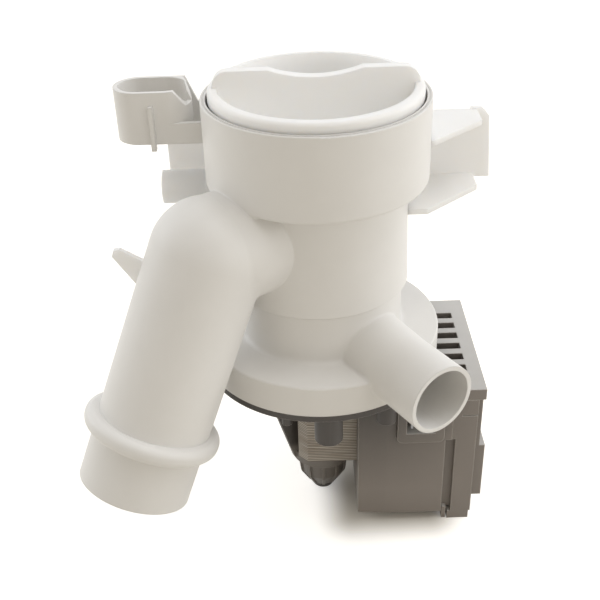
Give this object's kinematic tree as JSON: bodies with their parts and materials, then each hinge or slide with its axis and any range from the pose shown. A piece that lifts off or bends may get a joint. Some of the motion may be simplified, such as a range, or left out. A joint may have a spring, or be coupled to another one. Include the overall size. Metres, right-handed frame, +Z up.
{
  "type": "washer drain pump",
  "caption": "Washing machine drain pump: white filter housing with an elbow inlet, side outlet and lift-out filter cap, on a grey coil motor with a vented cover.",
  "frame": {"origin": "on the pump axis, at the end of the rotor chamber's plug, on the surface the pump stands on", "axes": "+Z up along the pump axis towards the filter cap, +X towards the coils, -Y towards the picture's viewer"},
  "size_m": [0.1459, 0.1085, 0.1731],
  "materials": {
    "white_moulding": "satin",
    "cap_moulding": "satin",
    "grey_moulding": "matte",
    "flange_moulding": "matte",
    "dark_moulding": "matte",
    "lamination_iron": "varnished",
    "copper_wire": "enamelled",
    "steel": "brushed",
    "rubber": "matte",
    "ferrite": "sintered"
  },
  "bodies": {
    "pump": {"filter_housing": "white_moulding", "inlet_elbow": "white_moulding", "outlet_spigot": "white_moulding", "hose_ring": "white_moulding", "locating_tab": "white_moulding", "vent_nozzle": "white_moulding", "side_fin": "white_moulding", "mounting_bracket": "white_moulding", "motor_flange": "flange_moulding", "coil_cover": "grey_moulding", "yoke_cover": "grey_moulding", "vent_plate": "grey_moulding", "terminal_socket": "grey_moulding", "side_clip": "grey_moulding", "bearing_holder": "dark_moulding", "front_bobbin": "dark_moulding", "rear_bobbin": "dark_moulding", "thermal_cutout": "dark_moulding", "end_plug": "dark_moulding", "stator_core": "lamination_iron", "front_winding": "copper_wire", "rear_winding": "copper_wire", "front_bearing": "steel", "rear_bearing": "steel", "flange_screws": "steel", "terminal_blades": "steel", "shaft_seal": "rubber", "volute_seal": "rubber"},
    "filter": {"strainer_basket": "white_moulding"},
    "cap": {"filter_cap": "cap_moulding", "cap_seal": "rubber"},
    "rotor": {"rotor_shaft": "steel", "rotor_magnet": "ferrite", "rotor_sleeve": "rubber", "drive_dog": "steel"},
    "impeller": {"impeller": "dark_moulding"}
  },
  "joints": [
    {"name": "filter_lift", "type": "slide", "parent": "pump", "child": "filter", "axis": [0, 0, 1], "range_m": [0, 0.075]},
    {"name": "cap_turn", "type": "hinge", "parent": "filter", "child": "cap", "pos_m": [0, 0, 0.1479], "axis": [0, 0, 1], "range_deg": [0, 90]},
    {"name": "rotor_spin", "type": "hinge", "parent": "pump", "child": "rotor", "pos_m": [0, 0, 0.04], "axis": [0, 0, 1], "continuous": true},
    {"name": "impeller_play", "type": "hinge", "parent": "rotor", "child": "impeller", "pos_m": [0, 0, 0.078], "axis": [0, 0, 1], "range_deg": [-105, 105]}
  ]
}
